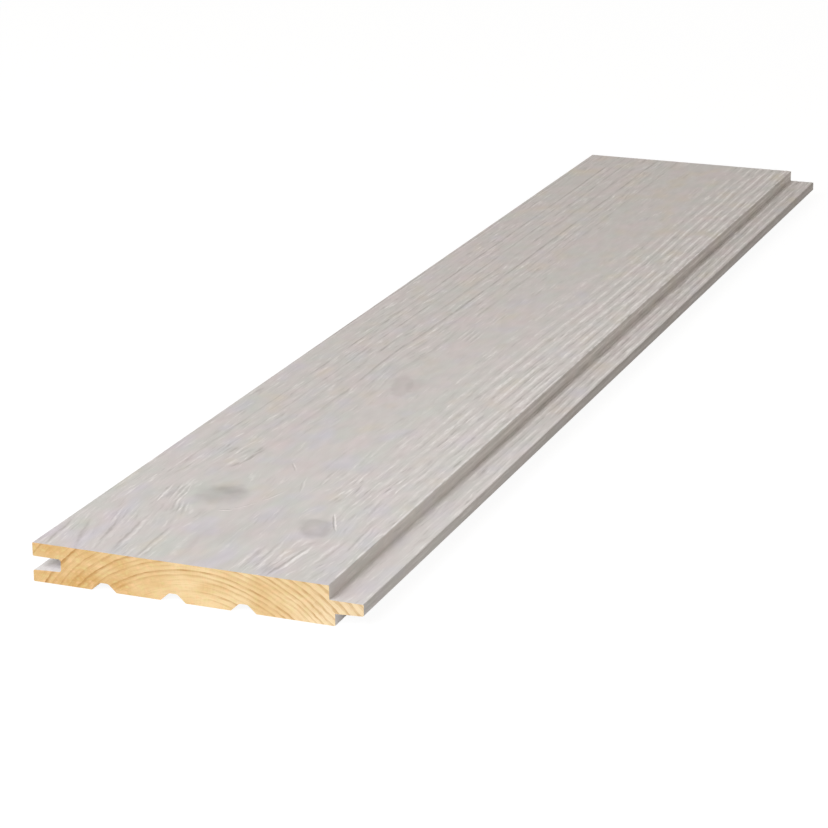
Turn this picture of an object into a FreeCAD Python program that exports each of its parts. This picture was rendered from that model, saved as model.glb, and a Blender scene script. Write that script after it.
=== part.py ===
import FreeCAD, Part

import math
import os

# Tongue and groove lining board: one piece of pine, moulded along its whole length.
# It lies on its back with the glazed face up. X runs across it from the groove to the tongue,
# Y along it and Z up through it, with the origin in the middle of the foot of its bounding box.
# Every size is in millimetres.

# Board
board_length = 610.0
board_thickness = 14.0
# From the groove's lips to the shoulder under the tongue: what one board covers in a wall.
cover_width = 110.0
# The face stops this far short of that shoulder, which leaves a shadow line between two boards.
face_gap = 2.0
face_arris = 0.5
back_arris = 0.3

# Tongue. Its top is flat, and its underside slopes so that it starts easily in the next groove.
tongue_reach = 10.0
tongue_top = 9.0
tongue_root_thickness = 4.7
tongue_tip_thickness = 4.2
tongue_arris = 0.5
shoulder_corner = 0.3

# Groove, made to the tongue of the next board and these clearances
clearance_above = 0.1
clearance_below = 0.2
clearance_depth = 0.5
groove_corner = 0.8

# Relief grooves in the back, which keep a wide board from cupping
relief_count = 3
relief_first = 26.5
relief_pitch = 25.5
relief_mouth = 9.2
relief_crown = 3.0
relief_depth = 2.85
relief_corner = 1.5

# Places across the board, from its groove to its tongue
lip_x = -(cover_width + tongue_reach) / 2
shoulder_x = lip_x + cover_width
face_edge_x = shoulder_x - face_gap
tip_x = shoulder_x + tongue_reach


def tongue_underside(distance):
    """Height of the tongue's sloping underside, at a distance out from the shoulder below it."""
    slope = (tongue_root_thickness - tongue_tip_thickness) / tongue_reach
    return tongue_top - tongue_root_thickness + slope * distance


def relief_corners():
    """Corners of the relief grooves, each a rounded trapezoid, in order along the back."""
    corners = []
    for number in range(relief_count):
        centre_x = lip_x + relief_first + number * relief_pitch
        corners += [
            (centre_x - relief_mouth / 2, 0, back_arris),
            (centre_x - relief_crown / 2, relief_depth, relief_corner),
            (centre_x + relief_crown / 2, relief_depth, relief_corner),
            (centre_x + relief_mouth / 2, 0, back_arris),
        ]
    return corners


def tongue_corners():
    """Corners of the tongue's side, from the back up over the tongue to the face."""
    return [
        (shoulder_x, 0, back_arris),
        (shoulder_x, tongue_underside(0), shoulder_corner),
        (tip_x, tongue_underside(tongue_reach), tongue_arris),
        (tip_x, tongue_top, tongue_arris),
        (face_edge_x, tongue_top, shoulder_corner),
        (face_edge_x, board_thickness, face_arris),
    ]


def groove_corners():
    """Corners of the groove's side, from the face down round the groove to the back."""
    depth = tongue_reach + clearance_depth
    floor_x = lip_x + depth
    upper_cheek = tongue_top + clearance_above
    # The lips' edges are rounded enough to clear the corners of the next board's shoulders.
    lip_arris = shoulder_corner + clearance_below
    return [
        (lip_x, board_thickness, face_arris),
        (lip_x, upper_cheek, lip_arris),
        (floor_x, upper_cheek, groove_corner),
        (floor_x, tongue_underside(depth) - clearance_below, groove_corner),
        (lip_x, tongue_underside(0) - clearance_below, lip_arris),
        (lip_x, 0, back_arris),
    ]


def corner_arc(before, corner, after, radius):
    """The arc of a radius that rounds a corner and runs on smoothly from both its straight sides."""
    to_before = (before - corner).normalize()
    to_after = (after - corner).normalize()
    half_angle = to_before.getAngle(to_after) / 2
    side = radius / math.tan(half_angle)
    depth = radius / math.sin(half_angle) - radius
    inward = (to_before + to_after).normalize()
    return Part.Arc(corner + to_before * side, corner + inward * depth, corner + to_after * side)


def section(corners):
    """The board's section as a face at its near end, with each corner (x, z, radius) rounded."""
    points = [FreeCAD.Vector(x, -board_length / 2, z) for x, z, radius in corners]
    arcs = []
    for number, (x, z, radius) in enumerate(corners):
        after = points[(number + 1) % len(points)]
        arcs.append(corner_arc(points[number - 1], points[number], after, radius))
    edges = []
    for number, arc in enumerate(arcs):
        edges.append(Part.LineSegment(arcs[number - 1].EndPoint, arc.StartPoint).toShape())
        edges.append(arc.toShape())
    return Part.Face(Part.Wire(edges))


os.makedirs("parts", exist_ok=True)

board = section(relief_corners() + tongue_corners() + groove_corners())
board = board.extrude(FreeCAD.Vector(0, board_length, 0))
board.exportStep("parts/board.step")
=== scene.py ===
import logging
import math
from collections.abc import Callable
from dataclasses import dataclass
from enum import Enum

import bmesh
import bpy
from mathutils import Matrix, Vector


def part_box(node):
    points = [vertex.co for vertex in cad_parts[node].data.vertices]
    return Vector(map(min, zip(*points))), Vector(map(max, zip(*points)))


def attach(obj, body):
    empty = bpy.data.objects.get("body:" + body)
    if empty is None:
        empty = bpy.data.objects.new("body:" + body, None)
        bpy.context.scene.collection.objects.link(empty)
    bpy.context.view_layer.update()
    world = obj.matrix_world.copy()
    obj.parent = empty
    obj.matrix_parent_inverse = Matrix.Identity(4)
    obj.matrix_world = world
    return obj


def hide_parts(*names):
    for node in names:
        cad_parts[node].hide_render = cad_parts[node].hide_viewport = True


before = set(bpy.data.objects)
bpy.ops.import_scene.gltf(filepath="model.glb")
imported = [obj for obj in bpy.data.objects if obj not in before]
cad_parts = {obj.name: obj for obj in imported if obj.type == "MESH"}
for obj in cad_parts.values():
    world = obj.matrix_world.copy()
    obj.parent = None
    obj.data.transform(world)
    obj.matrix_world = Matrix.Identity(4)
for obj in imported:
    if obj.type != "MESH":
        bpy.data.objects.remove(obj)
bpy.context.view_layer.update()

MM = 0.001
NODE = "board"
log = logging.getLogger("tongue_and_groove_board")

Link = bpy.types.Node | bpy.types.NodeSocket
MATH = "ShaderNodeMath"
VECTOR = "ShaderNodeVectorMath"
RANGE = "ShaderNodeMapRange"


def srgb(code: str) -> tuple[float, float, float, float]:
    """Turns an sRGB hex colour into the linear colour that a shader takes.

    Args:
        code: The colour, such as "#CFCBC8".

    Returns:
        Red, green, blue and an alpha of 1.
    """
    parts = [int(code[place:place + 2], 16) / 255 for place in (1, 3, 5)]
    linear = [part / 12.92 if part <= 0.04045 else ((part + 0.055) / 1.055) ** 2.4 for part in parts]
    return (*linear, 1.0)


def add_node(tree: bpy.types.NodeTree, kind: str, inputs: dict | None = None, **settings) -> bpy.types.Node:
    """Adds a node to a tree, with its settings and its inputs.

    Args:
        tree: The node tree of a material or of a modifier.
        kind: The node's type.
        inputs: For each input, by its name or number, a value, or the node or socket to link to it.
        settings: Properties of the node, set before its inputs.

    Returns:
        The new node, whose first output in use is what a link from the node takes.
    """
    node = tree.nodes.new(kind)
    for name, value in settings.items():
        setattr(node, name, value)
    for key, value in (inputs or {}).items():
        sockets = [socket for number, socket in enumerate(node.inputs) if key in (number, socket.name)]
        socket = next(socket for socket in sockets if socket.enabled)
        if isinstance(value, bpy.types.Node):
            value = next(output for output in value.outputs if output.enabled)
        if isinstance(value, bpy.types.NodeSocket):
            tree.links.new(value, socket)
        else:
            socket.default_value = value
    return node


def select_where(test: Callable[[Vector], bool]) -> None:
    """Selects the vertices of the mesh in edit mode whose place passes a test, with what lies between them.

    Args:
        test: Takes a vertex's place and says whether to select it.
    """
    mesh = bpy.context.edit_object.data
    shape = bmesh.from_edit_mesh(mesh)
    for vertex in shape.verts:
        vertex.select_set(test(vertex.co))
    shape.select_flush(True)
    shape.select_flush(False)
    bmesh.update_edit_mesh(mesh)


def even_parts(count: int) -> list[int]:
    """Splits a division into rounds, because one round of subdividing makes at most 100 cuts.

    Args:
        count: How many parts an edge is to be divided into.

    Returns:
        For each round, how many parts each piece is divided into. Their product is about the count.
    """
    rounds = math.ceil(math.log(count, 100))
    return [round(count ** (1 / rounds))] * rounds


@dataclass(frozen=True)
class Corner:
    """A corner of the moulded section, with the radius that rounds it, in millimetres."""

    across: float
    up: float
    radius: float


@dataclass(frozen=True)
class Section:
    """The board's moulded section, in millimetres across from the groove's lips and up from the back."""

    width: float
    thickness: float
    cover_width: float = 110.0
    face_gap: float = 2.0
    face_arris: float = 0.5
    back_arris: float = 0.3
    tongue_top: float = 9.0
    tongue_root_thickness: float = 4.7
    tongue_tip_thickness: float = 4.2
    tongue_arris: float = 0.5
    shoulder_corner: float = 0.3
    clearance_above: float = 0.1
    clearance_below: float = 0.2
    clearance_depth: float = 0.5
    groove_corner: float = 0.8
    lip_arris: float = 0.5
    relief_count: int = 3
    relief_first: float = 26.5
    relief_pitch: float = 25.5
    relief_mouth: float = 9.2
    relief_crown: float = 3.0
    relief_depth: float = 2.85
    relief_corner: float = 1.5

    @property
    def face_edge(self) -> float:
        """Where the face ends above the tongue."""
        return self.cover_width - self.face_gap

    def tongue_underside(self, reach: float) -> float:
        """Finds the height of the tongue's sloping underside.

        Args:
            reach: The distance out from the shoulder under the tongue.

        Returns:
            The height above the back.
        """
        slope = (self.tongue_root_thickness - self.tongue_tip_thickness) / (self.width - self.cover_width)
        return self.tongue_top - self.tongue_root_thickness + slope * reach

    def relief_corners(self) -> list[Corner]:
        """Lists the corners of the relief grooves, in order along the back."""
        corners = []
        for number in range(self.relief_count):
            centre = self.relief_first + number * self.relief_pitch
            corners += [
                Corner(centre - self.relief_mouth / 2, 0, self.back_arris),
                Corner(centre - self.relief_crown / 2, self.relief_depth, self.relief_corner),
                Corner(centre + self.relief_crown / 2, self.relief_depth, self.relief_corner),
                Corner(centre + self.relief_mouth / 2, 0, self.back_arris),
            ]
        return corners

    def tongue_corners(self) -> list[Corner]:
        """Lists the corners of the tongue's side, from the back up to the face."""
        reach = self.width - self.cover_width
        return [
            Corner(self.cover_width, 0, self.back_arris),
            Corner(self.cover_width, self.tongue_underside(0), self.shoulder_corner),
            Corner(self.width, self.tongue_underside(reach), self.tongue_arris),
            Corner(self.width, self.tongue_top, self.tongue_arris),
            Corner(self.face_edge, self.tongue_top, self.shoulder_corner),
            Corner(self.face_edge, self.thickness, self.face_arris),
        ]

    def groove_corners(self) -> list[Corner]:
        """Lists the corners of the groove's side, from the face down to the back."""
        depth = self.width - self.cover_width + self.clearance_depth
        upper_cheek = self.tongue_top + self.clearance_above
        return [
            Corner(0, self.thickness, self.face_arris),
            Corner(0, upper_cheek, self.lip_arris),
            Corner(depth, upper_cheek, self.groove_corner),
            Corner(depth, self.tongue_underside(depth) - self.clearance_below, self.groove_corner),
            Corner(0, self.tongue_underside(0) - self.clearance_below, self.lip_arris),
            Corner(0, 0, self.back_arris),
        ]

    def corners(self) -> list[Corner]:
        """Lists every corner of the section, in order round it."""
        return self.relief_corners() + self.tongue_corners() + self.groove_corners()


@dataclass(frozen=True)
class Ring:
    """A growth ring: the radius of its late edge, in millimetres, and how plainly that edge shows."""

    radius: float
    boldness: float


@dataclass(frozen=True)
class Knot:
    """A branch cut across by the face. Sizes are in millimetres.

    The grain flows round the knot over its length times bow, or passes it by where bow is 0.
    """

    across: float
    along: float
    half_width: float
    half_length: float
    turn: float = 0.0
    bow: float = 0.0
    shade: float = 0.5
    softness: float = 1.0
    warmth: float = 0.0
    heart: float = 0.0


@dataclass(frozen=True)
class Tear:
    """A dark cut with a light ridge beside it, where the brush tore at the grain. Sizes are in millimetres.

    The turn leans it towards the tongue as it runs away from the near end. In colour, its cut and its
    ridge are partly painted shade and painted highlight.
    """

    across: float
    along: float
    half_width: float
    half_length: float
    turn: float
    depth: float = 1.0
    ridge: float = 1.0


def ladder(
    across: float, along: float, count: int, pitch: float, half_length: float, turn: float, depth: float = 0.9,
) -> tuple[Tear, ...]:
    """Lists tears side by side, as the wires of one brush leave them.

    Args:
        across: The first one's place across the board, in millimetres, and so are the other sizes.
        along: Its place along the board.
        count: How many there are.
        pitch: How far they are apart.
        half_length: Half the length of each.
        turn: How far each leans, in degrees.
        depth: How deep each is.

    Returns:
        The tears.
    """
    return tuple(
        Tear(across + number * pitch, along - number * pitch * 0.6, pitch * 0.5, half_length, turn, depth)
        for number in range(count))


@dataclass(frozen=True)
class Cluster:
    """A spot where the brush left many short strokes side by side. Sizes are in millimetres."""

    across: float
    along: float
    half_width: float
    half_length: float
    turn: float = 0.0
    depth: float = 1.5


@dataclass(frozen=True)
class Grain:
    """The sockets that describe the wood at a point.

    Tone is the mark of the brush, from -1 in a dark cut to 1 on a light ridge. The others run from 0 to 1,
    except place, ray and radius, which are in millimetres.
    """

    place: Link
    ray: Link
    radius: Link
    late: Link
    tongue_side: Link
    tone: Link
    fibre: Link
    knot_shade: Link
    knot_warmth: Link


@dataclass(frozen=True)
class PineGrain:
    """Growth rings, fibres and knots of the board, as one field that relief and colour both read.

    The rings run round a pith that lies below the back. They are wider towards the groove than towards
    the tongue, so each side has its own, and the first few are the same. Lengths are in millimetres.
    """

    corner: Vector
    thickness: float
    pith_across: float = 60.0
    pith_below: float = 38.0
    rings_to_groove: tuple[Ring, ...] = (
        Ring(34.0, 0.1), Ring(39.0, 0.1), Ring(41.2, 0.1), Ring(43.2, 0.2), Ring(45.2, 0.1), Ring(46.9, 0.15),
        Ring(48.7, 0.6), Ring(50.3, 1.0), Ring(52.0, 0.2), Ring(53.5, 0.7), Ring(55.1, 0.45), Ring(57.1, 1.1),
        Ring(59.6, 0.6), Ring(60.7, 0.2), Ring(62.2, 0.8), Ring(64.6, 0.45), Ring(66.9, 1.6), Ring(68.9, 0.2),
        Ring(70.8, 0.2), Ring(72.7, 0.3), Ring(74.3, 0.2), Ring(75.9, 0.9), Ring(78.0, 0.3), Ring(80.0, 0.5),
        Ring(82.0, 0.3))
    rings_to_tongue: tuple[Ring, ...] = (
        Ring(34.0, 0.1), Ring(39.0, 0.1), Ring(41.2, 0.4), Ring(43.2, 0.9), Ring(45.2, 0.3), Ring(46.9, 0.8),
        Ring(48.6, 0.8), Ring(50.4, 1.0), Ring(52.2, 0.5), Ring(53.9, 0.6), Ring(55.5, 0.7), Ring(57.1, 1.0),
        Ring(59.2, 0.9), Ring(61.3, 1.0), Ring(63.8, 1.0), Ring(66.4, 1.0), Ring(69.2, 0.9), Ring(71.6, 0.8),
        Ring(74.0, 0.8), Ring(76.4, 0.6), Ring(79.0, 0.5))
    lean: float = 3.0
    lean_along: float = 45.0
    swing: float = 6.2
    knots: tuple[Knot, ...] = (
        Knot(across=39.3, along=64.5, half_width=9.5, half_length=10.5, bow=2.0, shade=0.33),
        Knot(across=40.8, along=70.5, half_width=6.5, half_length=5.8, shade=0.24),
        Knot(across=83.3, along=46.0, half_width=6.2, half_length=9.6, turn=-22.0, bow=1.7, shade=0.35,
             softness=0.6, warmth=0.25, heart=0.65),
        Knot(across=53.0, along=202.5, half_width=4.4, half_length=14.5, turn=-15.0, bow=1.3, shade=0.17,
             softness=0.35, warmth=0.8),
        Knot(across=57.3, along=205.0, half_width=3.8, half_length=9.0, turn=-8.0, shade=0.15, softness=0.7,
             warmth=1.0),
        Knot(across=60.0, along=36.0, half_width=9.0, half_length=30.0, turn=30.0, shade=0.08, warmth=0.6),
    )
    clusters: tuple[Cluster, ...] = (
        Cluster(across=32.0, along=104.0, half_width=3.5, half_length=18.0),
        Cluster(across=80.5, along=86.0, half_width=6.0, half_length=20.0, depth=1.2),
        Cluster(across=95.0, along=96.0, half_width=6.0, half_length=16.0, depth=1.2),
    )
    tears: tuple[Tear, ...] = (
        Tear(across=3.9, along=12.0, half_width=2.0, half_length=15.0, turn=-6.0, depth=1.0, ridge=0.3),
        Tear(across=12.4, along=14.0, half_width=2.8, half_length=18.0, turn=-15.0, depth=0.65, ridge=0.3),
        Tear(across=19.6, along=20.0, half_width=2.2, half_length=25.0, turn=-9.0, depth=0.8, ridge=0.35),
        Tear(across=27.0, along=20.0, half_width=2.2, half_length=24.0, turn=-7.0, depth=1.0, ridge=0.5),
        Tear(across=38.3, along=16.0, half_width=1.9, half_length=22.0, turn=-3.0, depth=0.75, ridge=0.45),
        Tear(across=49.3, along=16.0, half_width=4.0, half_length=17.0, turn=-8.0, depth=-0.25),
        *ladder(across=14.0, along=33.0, count=2, pitch=2.2, half_length=11.0, turn=-13.0, depth=0.5),
        Tear(across=19.8, along=59.0, half_width=1.1, half_length=12.0, turn=-9.0, depth=0.75),
        *ladder(across=22.8, along=62.0, count=3, pitch=2.0, half_length=12.0, turn=-10.0, depth=0.5),
        *ladder(across=28.8, along=50.0, count=3, pitch=2.4, half_length=8.5, turn=-15.0, depth=0.5),
        *ladder(across=51.0, along=277.0, count=4, pitch=2.4, half_length=12.0, turn=0.0, depth=0.5),
        Tear(across=11.9, along=90.0, half_width=1.8, half_length=14.0, turn=-3.0, depth=-0.5),
        Tear(across=47.4, along=51.1, half_width=0.9, half_length=3.2, turn=70.0),
        Tear(across=51.8, along=57.0, half_width=0.8, half_length=7.0, turn=30.0, depth=0.6),
        Tear(across=57.3, along=69.5, half_width=0.8, half_length=7.0, turn=18.0, depth=0.6),
        Tear(across=51.8, along=100.0, half_width=0.8, half_length=6.0, turn=-30.0, depth=0.6),
        Tear(across=62.5, along=84.0, half_width=1.0, half_length=11.0, turn=-14.0, depth=0.4),
        Tear(across=68.0, along=94.0, half_width=1.1, half_length=15.0, turn=-3.0, depth=0.4),
        Tear(across=63.8, along=114.0, half_width=1.8, half_length=20.0, turn=0.0, depth=0.3, ridge=0.3),
        Tear(across=73.9, along=15.0, half_width=1.8, half_length=14.0, turn=0.0, depth=-0.6),
        Tear(across=79.0, along=17.0, half_width=1.9, half_length=17.0, turn=-3.0, depth=0.65),
        Tear(across=82.8, along=14.0, half_width=1.5, half_length=12.0, turn=-4.0, depth=0.4),
        Tear(across=87.8, along=17.0, half_width=1.9, half_length=18.0, turn=6.0, depth=0.9),
        Tear(across=96.9, along=24.0, half_width=1.8, half_length=22.0, turn=2.0, depth=-0.5),
        Tear(across=101.8, along=42.0, half_width=1.6, half_length=16.0, turn=-3.0, depth=0.5),
        Tear(across=87.4, along=53.0, half_width=0.9, half_length=10.0, turn=-24.0, depth=1.4),
    )

    def wander(self, tree: bpy.types.NodeTree, place: Link, size: tuple[float, float, float], reach: float) -> Link:
        """Makes a smooth random value.

        Args:
            tree: The node tree.
            place: The point, in millimetres.
            size: How far apart its swings are along each axis, in millimetres.
            reach: How far it swings to each side of zero.

        Returns:
            The value.
        """
        scaled = add_node(tree, VECTOR, {0: place, 1: size}, operation="DIVIDE")
        noise = add_node(tree, "ShaderNodeTexNoise", {"Vector": scaled, "Scale": 1.0, "Detail": 1.0})
        return add_node(tree, RANGE, {
            "Value": noise.outputs[0], "From Min": 0.25, "From Max": 0.75, "To Min": -reach, "To Max": reach,
        }, clamp=False)

    def read_curve(self, tree: bpy.types.NodeTree, value: Link, points: list[tuple[float, float]]) -> Link:
        """Reads a value off a line through points.

        Args:
            tree: The node tree.
            value: Where to read it.
            points: Pairs of a place, rising, and the value there.

        Returns:
            The value read.
        """
        first, last = points[0][0], points[-1][0]
        top = max(level for place, level in points)
        share = add_node(tree, RANGE, {"Value": value, "From Min": first, "From Max": last})
        line = add_node(tree, "ShaderNodeFloatCurve", {"Value": share})
        curve = line.mapping.curves[0]
        for end, (place, level) in ((0, points[0]), (-1, points[-1])):
            curve.points[end].location = ((place - first) / (last - first), level / top)
        for place, level in points[1:-1]:
            curve.points.new((place - first) / (last - first), level / top)
        for point in curve.points:
            point.handle_type = "VECTOR"
        line.mapping.update()
        return add_node(tree, MATH, {0: line, 1: float(top)}, operation="MULTIPLY")

    def count_rings(self, tree: bpy.types.NodeTree, radius: Link, rings: tuple[Ring, ...]) -> tuple[Link, Link]:
        """Counts the rings inside a radius.

        Args:
            tree: The node tree.
            radius: The distance from the pith.
            rings: The rings, from the pith outwards.

        Returns:
            The count, whose fraction is the place within the ring, and the ring's boldness.
        """
        count = self.read_curve(tree, radius, [(ring.radius, number) for number, ring in enumerate(rings)])
        late_edge = add_node(tree, MATH, {0: count}, operation="CEIL")
        boldness = self.read_curve(tree, late_edge, [(number, ring.boldness) for number, ring in enumerate(rings)])
        return count, boldness

    def lay(self, tree: bpy.types.NodeTree, position: Link) -> Grain:
        """Adds the field to a node tree.

        Args:
            tree: The tree of a material or of a geometry modifier.
            position: The point, in metres in the board's frame.

        Returns:
            The field's sockets.
        """
        place = add_node(tree, VECTOR, {
            0: position, 1: (1 / MM,) * 3, 2: tuple(-self.corner / MM)}, operation="MULTIPLY_ADD")
        axes = add_node(tree, "ShaderNodeSeparateXYZ", {0: place})
        along = axes.outputs["Y"]
        face_reach = self.thickness + self.pith_below
        above_pith = add_node(tree, MATH, {0: axes.outputs["Z"], 1: self.pith_below}, operation="ADD")
        share = add_node(tree, MATH, {0: above_pith, 1: face_reach}, operation="DIVIDE")
        offset = add_node(tree, MATH, {0: axes.outputs["X"], 1: self.pith_across}, operation="SUBTRACT")
        ray = add_node(tree, MATH, {0: offset, 1: share}, operation="DIVIDE")

        settling = add_node(tree, RANGE, {
            "Value": along, "From Min": 60.0, "From Max": 220.0, "To Min": 1.0, "To Max": 0.45})
        for size, reach in (((9.0, 24.0, 9.0), 0.45), ((2.0, 5.5, 2.0), 0.26)):
            ripple = self.wander(tree, place, size, reach)
            ray = add_node(tree, MATH, {0: ripple, 1: settling, 2: ray}, operation="MULTIPLY_ADD")
        leaning = add_node(tree, RANGE, {
            "Value": along, "From Max": self.lean_along, "To Max": self.lean}, interpolation_type="SMOOTHSTEP")
        leaning_side = add_node(tree, RANGE, {"Value": ray, "From Min": -24.0, "From Max": -38.0})
        flow = add_node(tree, MATH, {0: leaning, 1: leaning_side, 2: ray}, operation="MULTIPLY_ADD")
        swing_place = add_node(tree, MATH, {0: ray, 1: 6.0, 2: along}, operation="MULTIPLY_ADD")
        swinging = add_node(tree, RANGE, {
            "Value": swing_place, "From Min": 228.0, "From Max": 608.0, "To Max": self.swing,
        }, interpolation_type="SMOOTHSTEP")
        swinging_side = add_node(tree, RANGE, {
            "Value": ray, "From Min": -12.0, "From Max": 16.0, "To Min": 0.05, "To Max": -1.0})
        flow = add_node(tree, MATH, {0: swinging, 1: swinging_side, 2: flow}, operation="MULTIPLY_ADD")
        drift = self.wander(tree, place, (55.0, 160.0, 55.0), 0.5)
        flow = add_node(tree, MATH, {0: flow, 1: drift}, operation="ADD")
        knot_shade = knot_warmth = None
        calm = 1.0
        for knot in self.knots:
            push, shade, outside = self.lay_knot(tree, knot, place, ray, along)
            warmth = add_node(tree, MATH, {0: shade, 1: knot.warmth}, operation="MULTIPLY")
            if knot.bow:
                flow = add_node(tree, MATH, {0: flow, 1: push}, operation="SUBTRACT")
                calm = add_node(tree, MATH, {0: outside, 1: calm}, operation="MULTIPLY")
            if knot_shade:
                shade = add_node(tree, MATH, {0: shade, 1: knot_shade}, operation="ADD")
                warmth = add_node(tree, MATH, {0: warmth, 1: knot_warmth}, operation="ADD")
            knot_shade, knot_warmth = shade, warmth

        slant = add_node(tree, "ShaderNodeCombineXYZ", {0: flow, 1: face_reach})
        slope = add_node(tree, VECTOR, {0: slant}, operation="LENGTH")
        radius = add_node(tree, MATH, {0: slope.outputs["Value"], 1: share}, operation="MULTIPLY")
        tongue_side = add_node(tree, RANGE, {
            "Value": flow, "From Min": 1.0, "From Max": 11.0}, interpolation_type="SMOOTHSTEP")
        groove_count, groove_bold = self.count_rings(tree, radius, self.rings_to_groove)
        tongue_count, tongue_bold = self.count_rings(tree, radius, self.rings_to_tongue)
        count = add_node(tree, "ShaderNodeMix", {"Factor": tongue_side, "A": groove_count, "B": tongue_count})
        bold = add_node(tree, "ShaderNodeMix", {"Factor": tongue_side, "A": groove_bold, "B": tongue_bold})
        within = add_node(tree, MATH, {0: count}, operation="FRACT")
        late = self.hump(tree, within, (0.3, 0.88, 0.93, 1.0))
        late = add_node(tree, MATH, {0: late, 1: bold}, operation="MULTIPLY")

        ring = add_node(tree, MATH, {0: count}, operation="FLOOR")
        ring_place = add_node(tree, "ShaderNodeCombineXYZ", {0: ring, 1: along})
        unbroken = self.wander(tree, ring_place, (0.45, 20.0, 1.0), 0.8)
        unbroken = add_node(tree, MATH, {0: unbroken, 1: 0.78}, operation="ADD", use_clamp=True)
        to_tongue = add_node(tree, RANGE, {"Value": flow, "From Max": 26.0, "To Max": 0.95})
        held = add_node(tree, RANGE, {
            "Value": along, "From Min": 110.0, "From Max": 230.0, "To Min": 14.0, "To Max": 0.0})
        held = add_node(tree, MATH, {0: flow, 1: held}, operation="ADD")
        to_groove = add_node(tree, RANGE, {"Value": held, "From Max": -16.0, "To Max": 0.77})
        crest = self.hump(tree, within, (0.28, 0.42, 0.50, 0.64))
        furrow = self.hump(tree, within, (0.66, 0.84, 0.94, 1.0))
        ridge = add_node(tree, MATH, {0: to_groove, 1: 0.4, 2: to_tongue}, operation="MULTIPLY_ADD")
        trench = add_node(tree, MATH, {0: to_tongue, 1: 0.8, 2: to_groove}, operation="MULTIPLY_ADD")
        ridge = add_node(tree, MATH, {0: ridge, 1: crest}, operation="MULTIPLY")
        trench = add_node(tree, MATH, {0: trench, 1: furrow}, operation="MULTIPLY")
        line = add_node(tree, MATH, {0: ridge, 1: trench}, operation="SUBTRACT")
        cleared = add_node(tree, MATH, {0: to_groove, 1: -15.0, 2: along}, operation="MULTIPLY_ADD")
        plain = add_node(tree, RANGE, {
            "Value": cleared, "From Min": 10.0, "From Max": 240.0, "To Min": 0.15, "To Max": 1.0})
        bold = add_node(tree, MATH, {0: bold, 1: 0.95}, operation="MINIMUM")
        for share in (unbroken, bold, plain):
            line = add_node(tree, MATH, {0: line, 1: share}, operation="MULTIPLY")

        thread_place = add_node(tree, "ShaderNodeCombineXYZ", {0: flow, 1: along, 2: axes.outputs["Z"]})
        stroke = self.wander(tree, thread_place, (1.0, 13.0, 2.0), 1.0)
        raised = add_node(tree, RANGE, {"Value": stroke, "From Min": 0.25, "From Max": 1.0})
        sunk = add_node(tree, RANGE, {"Value": stroke, "From Min": -0.25, "From Max": -1.0})
        stroke = add_node(tree, MATH, {0: raised, 1: sunk}, operation="SUBTRACT")
        cluster = self.wander(tree, thread_place, (7.0, 30.0, 20.0), 0.9)
        edge = add_node(tree, MATH, {0: to_groove, 1: to_tongue}, operation="ADD")
        cluster = add_node(tree, MATH, {0: cluster, 1: edge}, operation="ADD")
        cluster = add_node(tree, RANGE, {
            "Value": cluster, "From Min": 0.1, "From Max": 1.5, "To Min": 0.15, "To Max": 0.85})
        for spot in self.clusters:
            sized = self.apart(tree, spot, ray, along, (spot.half_width, spot.half_length))[1]
            away = add_node(tree, VECTOR, {0: sized}, operation="LENGTH").outputs["Value"]
            inside = add_node(tree, RANGE, {
                "Value": away, "From Min": 1.0, "From Max": 0.4}, interpolation_type="SMOOTHSTEP")
            inside = add_node(tree, MATH, {0: inside, 1: spot.depth}, operation="MULTIPLY")
            cluster = add_node(tree, MATH, {0: cluster, 1: inside}, operation="MAXIMUM")
        stroke = add_node(tree, MATH, {0: stroke, 1: cluster}, operation="MULTIPLY")
        tone = add_node(tree, MATH, {0: line, 1: stroke}, operation="ADD")
        tone = add_node(tree, MATH, {0: tone, 1: calm}, operation="MULTIPLY")
        for tear in self.tears:
            tone = add_node(tree, MATH, {0: tone, 1: self.lay_tear(tree, tear, ray, along)}, operation="ADD")
        rough = self.wander(tree, place, (1.0, 3.2, 2.0), 1.0)
        uneven = add_node(tree, MATH, {0: rough, 1: 0.45, 2: 1.0}, operation="MULTIPLY_ADD")
        speck = add_node(tree, MATH, {0: rough, 1: 0.05}, operation="MULTIPLY")
        tone = add_node(tree, MATH, {0: tone, 1: uneven, 2: speck}, operation="MULTIPLY_ADD")
        tone = add_node(tree, "ShaderNodeClamp", {"Value": tone, "Min": -1.0, "Max": 1.0})

        fibre = self.wander(tree, thread_place, (0.5, 9.0, 0.5), 0.5)
        fibre = add_node(tree, MATH, {0: fibre, 1: 0.5}, operation="ADD", use_clamp=True)
        return Grain(place, ray, radius, late, tongue_side, tone, fibre, knot_shade, knot_warmth)

    def hump(self, tree: bpy.types.NodeTree, value: Link, ends: tuple[float, float, float, float]) -> Link:
        """Makes a value that rises smoothly to 1 and falls again.

        Args:
            tree: The node tree.
            value: What it follows.
            ends: Where the rise starts and ends, and where the fall starts and ends.

        Returns:
            The value, from 0 to 1.
        """
        rise = add_node(tree, RANGE, {
            "Value": value, "From Min": ends[0], "From Max": ends[1]}, interpolation_type="SMOOTHSTEP")
        fall = add_node(tree, RANGE, {
            "Value": value, "From Min": ends[3], "From Max": ends[2]}, interpolation_type="SMOOTHSTEP")
        return add_node(tree, MATH, {0: rise, 1: fall}, operation="MULTIPLY")

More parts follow.
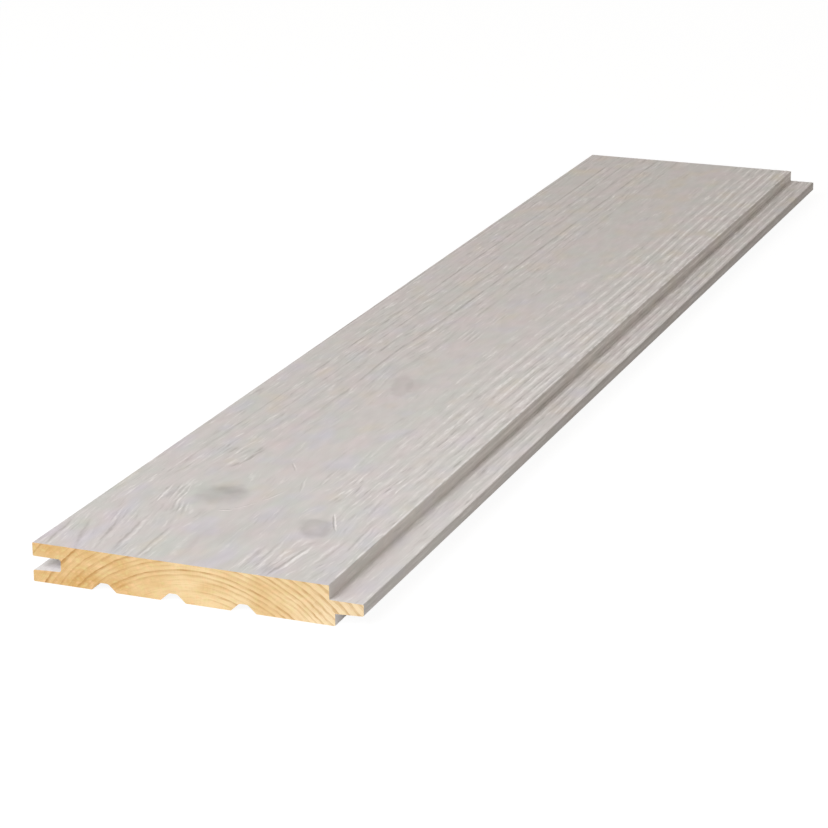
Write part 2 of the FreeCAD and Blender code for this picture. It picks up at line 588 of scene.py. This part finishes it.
    def apart(
        self, tree: bpy.types.NodeTree, mark: Knot | Tear | Cluster, ray: Link, along: Link, size: tuple[float, float],
    ) -> tuple[Link, Link]:
        """Measures how far a point is from the middle of a mark.

        A branch runs straight out from the pith, so a mark keeps its place on a ray from there.

        Args:
            tree: The node tree.
            mark: The knot, the tear or the cluster.
            ray: Where the ray from the pith through the point meets the face, from above the pith.
            along: The point's place along the board.
            size: The mark's half width and half length.

        Returns:
            The offset from the middle, and the same turned to the mark and as a share of its size.
        """
        spot = add_node(tree, "ShaderNodeCombineXYZ", {0: ray, 1: along})
        middle = (mark.across - self.pith_across, mark.along, 0.0)
        offset = add_node(tree, VECTOR, {0: spot, 1: middle}, operation="SUBTRACT")
        turned = add_node(tree, "ShaderNodeVectorRotate", {
            "Vector": offset, "Angle": math.radians(mark.turn)}, rotation_type="Z_AXIS")
        return offset, add_node(tree, VECTOR, {0: turned, 1: (*size, 1.0)}, operation="DIVIDE")

    def lay_knot(
        self, tree: bpy.types.NodeTree, knot: Knot, place: Link, ray: Link, along: Link,
    ) -> tuple[Link, Link, Link]:
        """Adds a knot to the field.

        Args:
            tree: The node tree.
            knot: The knot.
            place: The point, in millimetres.
            ray: Where the ray from the pith through the point meets the face, from above the pith.
            along: The point's place along the board.

        Returns:
            How far the grain is pushed aside there, in millimetres, how deep the knot's shade is, and how
            far outside the knot the point is, from 0 to 1.
        """
        push = None
        if knot.bow:
            size = (knot.half_width, knot.half_length * knot.bow)
            offset, sized = self.apart(tree, knot, ray, along, size)
            squared = add_node(tree, VECTOR, {0: sized, 1: sized}, operation="DOT_PRODUCT").outputs["Value"]
            squared = add_node(tree, MATH, {0: squared, 1: 1.0}, operation="ADD")
            aside = add_node(tree, "ShaderNodeSeparateXYZ", {0: offset})
            push = add_node(tree, MATH, {0: aside.outputs["X"], 1: squared}, operation="DIVIDE")
        sized = self.apart(tree, knot, ray, along, (knot.half_width, knot.half_length))[1]
        away = add_node(tree, VECTOR, {0: sized}, operation="LENGTH").outputs["Value"]
        uneven = self.wander(tree, place, (4.5, 4.5, 4.5), 0.14)
        away = add_node(tree, MATH, {0: away, 1: uneven}, operation="ADD")
        body = add_node(tree, RANGE, {
            "Value": away, "From Min": 1.0 + 0.3 * knot.softness, "From Max": 1.0 - 0.7 * knot.softness,
            "To Max": knot.shade,
        }, interpolation_type="SMOOTHSTEP")
        outside = add_node(tree, RANGE, {
            "Value": away, "From Min": 0.9, "From Max": 1.6}, interpolation_type="SMOOTHSTEP")
        heart = add_node(tree, RANGE, {
            "Value": away, "From Min": 0.7, "From Max": 0.0, "To Min": 1.0, "To Max": 1.0 - knot.heart})
        return push, add_node(tree, MATH, {0: body, 1: heart}, operation="MULTIPLY"), outside

    def lay_tear(self, tree: bpy.types.NodeTree, tear: Tear, ray: Link, along: Link) -> Link:
        """Adds a tear to the field.

        Args:
            tree: The node tree.
            tear: The tear.
            ray: Where the ray from the pith through the point meets the face, from above the pith.
            along: The point's place along the board.

        Returns:
            Its tone, from minus its depth in a cut to its depth on a ridge.
        """
        sized = self.apart(tree, tear, ray, along, (tear.half_width, tear.half_length))[1]
        away = add_node(tree, VECTOR, {0: sized}, operation="LENGTH").outputs["Value"]
        window = add_node(tree, RANGE, {
            "Value": away, "From Min": 1.0, "From Max": 0.5, "To Max": tear.depth,
        }, interpolation_type="SMOOTHSTEP")
        across = add_node(tree, "ShaderNodeSeparateXYZ", {0: sized})
        angle = add_node(tree, MATH, {0: across.outputs["X"], 1: math.pi}, operation="MULTIPLY")
        wave = add_node(tree, MATH, {0: angle}, operation="SINE")
        lower = add_node(tree, MATH, {0: wave, 1: tear.ridge}, operation="MULTIPLY")
        wave = add_node(tree, MATH, {0: wave, 1: lower}, operation="MINIMUM")
        return add_node(tree, MATH, {0: wave, 1: window}, operation="MULTIPLY")


@dataclass(frozen=True)
class GlazedPine:
    """Brushed pine under a thin grey-white glaze, as a matt water-based wood stain sprayed in a factory.

    The wire brush takes out the soft early wood. The glaze lies thin and bright on the hard ridges that
    are left, lets the dark late wood through towards the groove, and goes grey and flat over the knots.
    The light ridges and dark cuts also hold painted highlight and painted shade of the brush relief, and a
    sheen, a highlight on the face's edge, lighter shoulders and low faces and a darker tongue tip are painted.
    """

    grain: PineGrain
    face_edge: float
    name: str = "glazed_brushed_pine"
    rosy: str = "#D6C9C9"
    mossy: str = "#CACBC5"
    straw: str = "#D5C9B0"
    lilac: str = "#CAC6D7"
    # The light colour also serves for painted highlights and painted light, and the dark one for painted shade.
    light: str = "#F0ECE9"
    dark: str = "#97908B"
    cool_knot: str = "#918B8A"
    warm_knot: str = "#9C8C86"
    bare: str = "#DDBF8C"
    roughness: float = 0.55
    gloss: float = 0.1

    def material(self) -> bpy.types.Material:
        """Makes the material."""
        material = bpy.data.materials.new(self.name)
        material.use_nodes = True
        tree = material.node_tree
        tree.nodes.clear()
        position = add_node(tree, "ShaderNodeTexCoord").outputs["Object"]
        grain = self.grain.lay(tree, position)
        axes = add_node(tree, "ShaderNodeSeparateXYZ", {0: grain.place})
        soak = add_node(tree, RANGE, {
            "Value": axes.outputs["Y"], "From Min": 60.0, "From Max": 320.0, "To Min": 1.0, "To Max": 0.8})
        hue = self.grain.wander(tree, grain.place, (9.0, 18.0, 9.0), 0.38)
        hue = add_node(tree, MATH, {0: hue, 1: 0.5}, operation="ADD")
        hue = add_node(tree, MATH, {0: hue, 1: soak, 2: 0.14}, operation="MULTIPLY_ADD", use_clamp=True)
        tint = self.grain.wander(tree, grain.place, (11.0, 20.0, 11.0), 0.46)
        cooler = add_node(tree, RANGE, {
            "Value": axes.outputs["Y"], "From Min": 0.0, "From Max": 500.0, "To Min": -0.1, "To Max": 0.08})
        tint = add_node(tree, MATH, {0: tint, 1: soak, 2: cooler}, operation="MULTIPLY_ADD")
        to_straw = add_node(tree, MATH, {0: tint, 1: -0.12}, operation="ADD", use_clamp=True)
        to_lilac = add_node(tree, MATH, {0: -0.12, 1: tint}, operation="SUBTRACT", use_clamp=True)
        cloud = self.grain.wander(tree, grain.place, (3.5, 12.0, 3.5), 0.08)
        cloud = add_node(tree, MATH, {0: cloud, 1: 0.07}, operation="ADD", use_clamp=True)
        # Light ridges and dark cuts of the brush: partly the glaze and the late wood, partly painted highlight and
        # painted shade of the relief.
        light = add_node(tree, RANGE, {"Value": grain.tone, "From Min": 0.05, "From Max": 1.0, "To Max": 0.75})
        dark = add_node(tree, RANGE, {"Value": grain.tone, "From Min": -0.05, "From Max": -1.0, "To Max": 0.5})
        # Painted highlight along the rounded upper edge of the face above the tongue, broken up along the board.
        arris_highlight = self.grain.hump(tree, axes.outputs["X"], (
            self.face_edge - 1.3, self.face_edge - 0.7, self.face_edge - 0.2, self.face_edge + 0.1))
        upper = add_node(tree, RANGE, {
            "Value": axes.outputs["Z"], "From Min": 12.6, "From Max": 13.4, "To Max": 0.6})
        arris_highlight = add_node(tree, MATH, {0: arris_highlight, 1: upper}, operation="MULTIPLY")
        broken = self.grain.wander(tree, grain.place, (4.0, 5.0, 4.0), 0.9)
        broken = add_node(tree, MATH, {0: broken, 1: 0.6}, operation="ADD", use_clamp=True)
        arris_highlight = add_node(tree, MATH, {0: arris_highlight, 1: broken}, operation="MULTIPLY")
        # Painted sheen: lighter towards the tongue over the middle of the board's length, the upper shoulder too.
        sapwood_and_sheen = add_node(tree, RANGE, {
            "Value": axes.outputs["X"], "From Min": 35.0, "From Max": 115.0, "To Max": 0.2})
        sheen_along_board = self.grain.hump(tree, axes.outputs["Y"], (-20.0, 110.0, 200.0, 480.0))
        sapwood_and_sheen = add_node(tree, MATH, {0: sapwood_and_sheen, 1: sheen_along_board}, operation="MULTIPLY")
        # Painted shade: the tongue's tip is darker, and more so towards the far end.
        tip = add_node(tree, RANGE, {"Value": axes.outputs["X"], "From Min": 119.4, "From Max": 119.9})
        tip_shade_far = add_node(tree, RANGE, {
            "Value": axes.outputs["Y"], "From Min": 60.0, "From Max": 240.0, "To Min": 0.15, "To Max": 0.5})
        tip = add_node(tree, MATH, {0: tip, 1: tip_shade_far}, operation="MULTIPLY")
        # Painted light: the upper shoulder under the face's edge is lighter, and most at the near end.
        beside = add_node(tree, RANGE, {
            "Value": axes.outputs["X"], "From Min": self.face_edge - 0.15, "From Max": self.face_edge - 0.05})
        shoulder = add_node(tree, RANGE, {
            "Value": axes.outputs["Z"], "From Min": 9.3, "From Max": 9.6, "To Max": 0.15})
        lit_shoulder = add_node(tree, RANGE, {
            "Value": axes.outputs["Y"], "From Min": 60.0, "From Max": 200.0, "To Min": 0.2, "To Max": 0.0})
        lit_shoulder = add_node(tree, MATH, {0: lit_shoulder, 1: shoulder}, operation="ADD")
        lit_shoulder = add_node(tree, MATH, {0: lit_shoulder, 1: beside}, operation="MULTIPLY")
        # Painted light: the faces low on the board, the groove's lower cheek and the shoulder under the tongue among
        # them, are lighter.
        lit_low_faces = add_node(tree, RANGE, {
            "Value": axes.outputs["Z"], "From Min": 4.95, "From Max": 4.65, "To Max": 0.5})
        back = add_node(tree, RANGE, {
            "Value": axes.outputs["Z"], "From Min": 3.2, "From Max": 2.6, "To Max": 0.5})
        under = add_node(tree, RANGE, {"Value": axes.outputs["X"], "From Min": 109.8, "From Max": 109.4})
        back = add_node(tree, MATH, {0: back, 1: under}, operation="MULTIPLY")
        knot_colour = add_node(tree, "ShaderNodeMix", {
            "Factor": grain.knot_warmth, "A": srgb(self.cool_knot), "B": srgb(self.warm_knot)}, data_type="RGBA")
        colour = add_node(tree, "ShaderNodeMix", {
            "Factor": hue, "A": srgb(self.rosy), "B": srgb(self.mossy)}, data_type="RGBA")
        layers = (
            (to_straw, srgb(self.straw)), (to_lilac, srgb(self.lilac)), (sapwood_and_sheen, srgb(self.light)), (cloud, srgb(self.dark)), (light, srgb(self.light)), (dark, srgb(self.dark)),
            (grain.knot_shade, knot_colour), (arris_highlight, srgb(self.light)), (lit_shoulder, srgb(self.light)),
            (lit_low_faces, srgb(self.light)), (tip, srgb(self.dark)), (back, srgb(self.bare)))
        for cover, layer in layers:
            colour = add_node(tree, "ShaderNodeMix", {"Factor": cover, "A": colour, "B": layer}, data_type="RGBA")
        bump = add_node(tree, "ShaderNodeBump", {
            "Height": grain.fibre, "Strength": 0.35, "Distance": 0.06 * MM})
        shader = add_node(tree, "ShaderNodeBsdfPrincipled", {
            "Base Color": colour, "Roughness": self.roughness, "Specular IOR Level": self.gloss, "Normal": bump})
        add_node(tree, "ShaderNodeOutputMaterial", {"Surface": shader})
        return material


@dataclass(frozen=True)
class SawnPineEnd:
    """Bare pine sawn square across the grain: pale yellow early wood and browner late rings."""

    grain: PineGrain
    name: str = "sawn_pine_end"
    early: str = "#DDC394"
    peach: str = "#E1B889"
    green: str = "#D1C183"
    brown: str = "#C29A5C"
    sapwood_and_sheen: str = "#E9D6B4"
    late: str = "#AA7F45"
    roughness: float = 0.75

    def material(self) -> bpy.types.Material:
        """Makes the material."""
        material = bpy.data.materials.new(self.name)
        material.use_nodes = True
        tree = material.node_tree
        tree.nodes.clear()
        position = add_node(tree, "ShaderNodeTexCoord").outputs["Object"]
        grain = self.grain.lay(tree, position)
        heartwood = self.grain.wander(tree, grain.place, (10.0, 60.0, 6.0), 0.35)
        browner = add_node(tree, RANGE, {
            "Value": grain.ray, "From Min": 0.0, "From Max": -45.0, "To Min": 0.18, "To Max": 0.75})
        browner = add_node(tree, MATH, {0: browner, 1: heartwood}, operation="ADD", use_clamp=True)
        fleck_place = add_node(tree, "ShaderNodeCombineXYZ", {0: grain.ray, 1: grain.radius})
        fleck = self.grain.wander(tree, fleck_place, (0.45, 7.0, 1.0), 0.08)
        streak = self.grain.wander(tree, fleck_place, (6.0, 0.35, 1.0), 0.2)
        fleck = add_node(tree, MATH, {0: fleck, 1: streak}, operation="ADD")
        tint = self.grain.wander(tree, grain.place, (2.6, 40.0, 1.6), 0.7)
        to_peach = add_node(tree, MATH, {0: tint, 1: -0.1}, operation="ADD", use_clamp=True)
        to_green = add_node(tree, MATH, {0: -0.1, 1: tint}, operation="SUBTRACT", use_clamp=True)
        patchy = self.grain.wander(tree, grain.place, (5.0, 40.0, 2.2), 0.3)
        patchy = add_node(tree, MATH, {0: patchy, 1: 0.66}, operation="ADD", use_clamp=True)
        paler = add_node(tree, RANGE, {
            "Value": grain.ray, "From Min": 5.0, "From Max": 35.0, "To Min": 1.0, "To Max": 0.85})
        patchy = add_node(tree, MATH, {0: patchy, 1: paler}, operation="MULTIPLY")
        late = add_node(tree, MATH, {0: grain.late, 1: patchy}, operation="MULTIPLY")
        late = add_node(tree, MATH, {0: late, 1: fleck}, operation="ADD", use_clamp=True)
        colour = add_node(tree, "ShaderNodeMix", {
            "Factor": browner, "A": srgb(self.early), "B": srgb(self.brown)}, data_type="RGBA")
        paler = add_node(tree, RANGE, {"Value": grain.ray, "From Min": 38.0, "From Max": 62.0, "To Max": 0.5})
        for cover, layer in (
                (to_peach, self.peach), (to_green, self.green), (paler, self.sapwood_and_sheen), (late, self.late)):
            colour = add_node(tree, "ShaderNodeMix", {
                "Factor": cover, "A": colour, "B": srgb(layer)}, data_type="RGBA")
        saw_marks = self.grain.wander(tree, grain.place, (0.35, 40.0, 9.0), 0.5)
        bump = add_node(tree, "ShaderNodeBump", {"Height": saw_marks, "Strength": 0.4, "Distance": 0.1 * MM})
        shader = add_node(tree, "ShaderNodeBsdfPrincipled", {
            "Base Color": colour, "Roughness": self.roughness, "Normal": bump})
        add_node(tree, "ShaderNodeOutputMaterial", {"Surface": shader})
        return material


@dataclass
class Board:
    """The board as one closed mesh, moulded like the CAD solid and brushed on its face and tongue."""

    low: Vector
    high: Vector
    column: float = 0.35
    row: float = 3.0
    arc_steps: int = 3
    brush_depth: float = 0.24
    smooth_angle: float = 50.0

    def __post_init__(self) -> None:
        """Works out the section and the grain from the board's box."""
        size = (self.high - self.low) / MM
        self.section = Section(width=size.x, thickness=size.z)
        self.grain = PineGrain(corner=self.low, thickness=size.z)

    def at(self, across: float, up: float) -> Vector:
        """Turns a place in the section into a point on the near end.

        Args:
            across: Millimetres from the groove's lips.
            up: Millimetres above the back.

        Returns:
            The point, in metres.
        """
        return self.low + Vector((across, 0, up)) * MM

    def draw_outline(self) -> None:
        """Draws the section's outline on the near end, corner by corner, and fills it."""
        corners = [self.at(corner.across, corner.up) for corner in self.section.corners()]
        bpy.ops.object.select_all(action="DESELECT")
        bpy.ops.mesh.primitive_plane_add(size=self.section.thickness * MM, location=corners[0])
        bpy.ops.object.transform_apply()
        bpy.ops.object.mode_set(mode="EDIT")
        bpy.ops.mesh.merge(type="CENTER")
        for start, end in zip(corners, corners[1:]):
            bpy.ops.mesh.extrude_region_move(TRANSFORM_OT_translate={"value": end - start})
        bpy.ops.mesh.select_all(action="SELECT")
        bpy.ops.mesh.edge_face_add()

    def round_corners(self) -> None:
        """Rounds each corner of the outline by its radius."""
        corners = self.section.corners()
        points = [self.at(corner.across, corner.up) for corner in corners]
        for number, corner in enumerate(corners):
            point = points[number]
            before = points[number - 1] - point
            after = points[(number + 1) % len(points)] - point
            side = corner.radius * MM / math.tan(before.angle(after) / 2)
            select_where(lambda place: (place - point).length < 0.01 * MM)
            bpy.ops.mesh.bevel(offset=side, segments=self.arc_steps, affect="VERTICES")

    def divide_flat(self, start: Vector, end: Vector) -> None:
        """Divides a flat that is to be brushed into columns, across the board.

        Args:
            start: A point at one end of the flat.
            end: A point at its other end.
        """
        select_where(lambda place: abs(place.z - start.z) < 0.01 * MM and start.x < place.x < end.x)
        for parts in even_parts(round((end.x - start.x) / (self.column * MM))):
            bpy.ops.mesh.subdivide(number_cuts=parts - 1)

    def brush(self, board: bpy.types.Object) -> None:
        """Brushes the soft wood out of the face and the top of the tongue.

        Args:
            board: The board.
        """
        tree = bpy.data.node_groups.new("brushing", "GeometryNodeTree")
        tree.interface.new_socket("Geometry", in_out="INPUT", socket_type="NodeSocketGeometry")
        tree.interface.new_socket("Geometry", in_out="OUTPUT", socket_type="NodeSocketGeometry")
        board_in = add_node(tree, "NodeGroupInput")
        position = add_node(tree, "GeometryNodeInputPosition")
        grain = self.grain.lay(tree, position)
        weight = add_node(tree, "GeometryNodeInputNamedAttribute", {"Name": "brushed"}, data_type="FLOAT")
        height = add_node(tree, RANGE, {
            "Value": grain.tone, "From Min": -1.0, "From Max": 1.0, "To Min": -self.brush_depth * MM, "To Max": 0.0})
        down = add_node(tree, MATH, {0: height, 1: weight}, operation="MULTIPLY")
        offset = add_node(tree, "ShaderNodeCombineXYZ", {2: down})
        moved = add_node(tree, "GeometryNodeSetPosition", {"Geometry": board_in, "Offset": offset})
        add_node(tree, "NodeGroupOutput", {0: moved})
        modifier = board.modifiers.new("brushing", "NODES")
        modifier.node_group = tree
        bpy.ops.object.modifier_apply(modifier=modifier.name)

    def build(self) -> bpy.types.Object:
        """Models the board.

        Returns:
            The board's object.
        """
        section = self.section
        self.draw_outline()
        self.round_corners()
        face = (self.at(0, section.thickness), self.at(section.face_edge, section.thickness))
        tongue = (self.at(section.face_edge, section.tongue_top), self.at(section.width, section.tongue_top))
        self.divide_flat(*face)
        self.divide_flat(*tongue)
        length = self.high.y - self.low.y
        bpy.ops.mesh.select_all(action="SELECT")
        bpy.ops.mesh.extrude_region_move(TRANSFORM_OT_translate={"value": (0, length, 0)})
        self.cut_rows(length)
        bpy.ops.mesh.select_all(action="SELECT")
        bpy.ops.mesh.normals_make_consistent(inside=False)
        bpy.ops.object.mode_set(mode="OBJECT")
        board = bpy.context.object
        board.name = "glazed_board"
        group = board.vertex_groups.new(name="brushed")
        flats = [face[0].z, tongue[0].z]
        brushed = [v.index for v in board.data.vertices
                   if any(abs(v.co.z - z) < 0.01 * MM for z in flats) and (v.co.z > flats[1] + MM or v.co.x > face[1].x)]
        group.add(brushed, 1.0, "REPLACE")
        self.brush(board)
        bpy.ops.object.shade_smooth_by_angle(angle=math.radians(self.smooth_angle))
        return board

    def cut_rows(self, length: float) -> None:
        """Cuts the long strips of the mesh into rows along the board.

        Args:
            length: The board's length, in metres.
        """
        mesh = bpy.context.edit_object.data
        for parts in even_parts(round(length / (self.row * MM))):
            bpy.ops.mesh.select_all(action="DESELECT")
            shape = bmesh.from_edit_mesh(mesh)
            for edge in shape.edges:
                start, end = (vertex.co for vertex in edge.verts)
                edge.select_set(abs(end.y - start.y) > MM)
            bmesh.update_edit_mesh(mesh)
            bpy.ops.mesh.subdivide(number_cuts=parts - 1)

    def dress(self, board: bpy.types.Object) -> None:
        """Gives the board its finishes.

        Args:
            board: The board's object.
        """
        board.data.materials.append(GlazedPine(self.grain, self.section.face_edge).material())
        board.data.materials.append(SawnPineEnd(self.grain).material())
        for face in board.data.polygons:
            face.material_index = 1 if abs(face.normal.y) > 0.9 else 0


@dataclass(frozen=True)
class Studio:
    """A white table in soft studio light, with the camera where the photograph was taken from."""

    eye: tuple[float, float, float] = (371.9, -1053.1, 344.0)
    heading: float = 21.477
    pitch: float = 18.474
    roll: float = -0.237
    focal_pixels: float = 2733.4
    frame_pixels: float = 828.0

    def camera(self) -> None:
        """Sets the camera up at the photograph's place and angle."""
        data = bpy.data.cameras.new("camera")
        data.sensor_width = 36.0
        data.lens = self.focal_pixels / self.frame_pixels * data.sensor_width
        camera = bpy.data.objects.new("camera", data)
        turn = Matrix.Rotation(math.radians(self.heading), 4, "Z")
        tip = Matrix.Rotation(math.radians(90 - self.pitch), 4, "X")
        lean = Matrix.Rotation(math.radians(self.roll), 4, "Z")
        camera.matrix_world = Matrix.Translation(Vector(self.eye) * MM) @ turn @ tip @ lean
        bpy.context.scene.collection.objects.link(camera)
        bpy.context.scene.camera = camera

    def lamp(self, name: str, place: tuple[float, float, float], size: float, power: float) -> None:
        """Hangs a square soft box that faces the board.

        Args:
            name: The lamp's name.
            place: Where it hangs, in metres.
            size: The length of its side, in metres.
            power: Its power, in watts.
        """
        data = bpy.data.lights.new(name, "AREA")
        data.size = size
        data.energy = power
        data.color = srgb("#F5F8FF")[:3]
        lamp = bpy.data.objects.new(name, data)
        lamp.location = place
        lamp.rotation_euler = (-Vector(place)).to_track_quat("-Z", "Y").to_euler()
        bpy.context.scene.collection.objects.link(lamp)

    def seen_straight(self, tree: bpy.types.NodeTree) -> bpy.types.Node:
        """Finds the rays that show the room itself: straight, off a shiny surface or through a clear one.

        Args:
            tree: The node tree of the table's material or of the world.

        Returns:
            A node that gives 1 for such a ray and 0 for one that only lights the board.
        """
        path = add_node(tree, "ShaderNodeLightPath")
        seen = add_node(tree, MATH, {
            0: path.outputs["Is Camera Ray"], 1: path.outputs["Is Glossy Ray"]}, operation="ADD")
        return add_node(tree, MATH, {
            0: seen, 1: path.outputs["Is Transmission Ray"]}, operation="ADD", use_clamp=True)

    def table(self) -> None:
        """Lays the white table that the board rests on."""
        bpy.ops.object.select_all(action="DESELECT")
        bpy.ops.mesh.primitive_plane_add(size=8.0)
        table = bpy.context.object
        table.name = "table"
        material = bpy.data.materials.new("white_table")
        material.use_nodes = True
        tree = material.node_tree
        tree.nodes.clear()
        shader = add_node(tree, "ShaderNodeBsdfDiffuse", {"Color": srgb("#E2E2E2")})
        glow = add_node(tree, "ShaderNodeEmission", {"Color": srgb("#FFFFFF"), "Strength": 1.09})
        seen = add_node(tree, MATH, {0: self.seen_straight(tree), 1: 0.85}, operation="MULTIPLY")
        both = add_node(tree, "ShaderNodeMixShader", {0: seen, 1: shader, 2: glow})
        add_node(tree, "ShaderNodeOutputMaterial", {"Surface": both})
        table.data.materials.append(material)

    def surroundings(self) -> None:
        """Lights the room evenly and shows it white."""
        world = bpy.data.worlds.new("studio")
        world.use_nodes = True
        tree = world.node_tree
        tree.nodes.clear()
        seen = self.seen_straight(tree)
        strength = add_node(tree, RANGE, {"Value": seen, "To Min": 0.47, "To Max": 1.0})
        colour = add_node(tree, "ShaderNodeMix", {
            "Factor": seen, "A": srgb("#FFF8EE"), "B": srgb("#FFFFFF")}, data_type="RGBA")
        light = add_node(tree, "ShaderNodeBackground", {"Color": colour, "Strength": strength})
        add_node(tree, "ShaderNodeOutputWorld", {"Surface": light})
        bpy.context.scene.world = world

    def build(self) -> None:
        """Sets the whole studio up."""
        self.camera()
        self.table()
        self.surroundings()
        self.lamp("key", (-0.3, -1.38, 1.03), 0.86, 19.8)
        self.lamp("fill", (-0.9, -1.1, 0.45), 0.5, 4.0)
        bpy.context.scene.view_settings.view_transform = "Standard"


def main() -> None:
    """Builds the studio and the board, and fits the board to its CAD node."""
    logging.basicConfig(level=logging.INFO, format="%(name)s: %(message)s")
    Studio().build()
    low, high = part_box(NODE)
    maker = Board(low=low, high=high)
    board = maker.build()
    maker.dress(board)
    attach(board, "root")
    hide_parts(NODE)
    log.info("%s: %d faces", board.name, len(board.data.polygons))


if __name__ == "__main__":
    main()
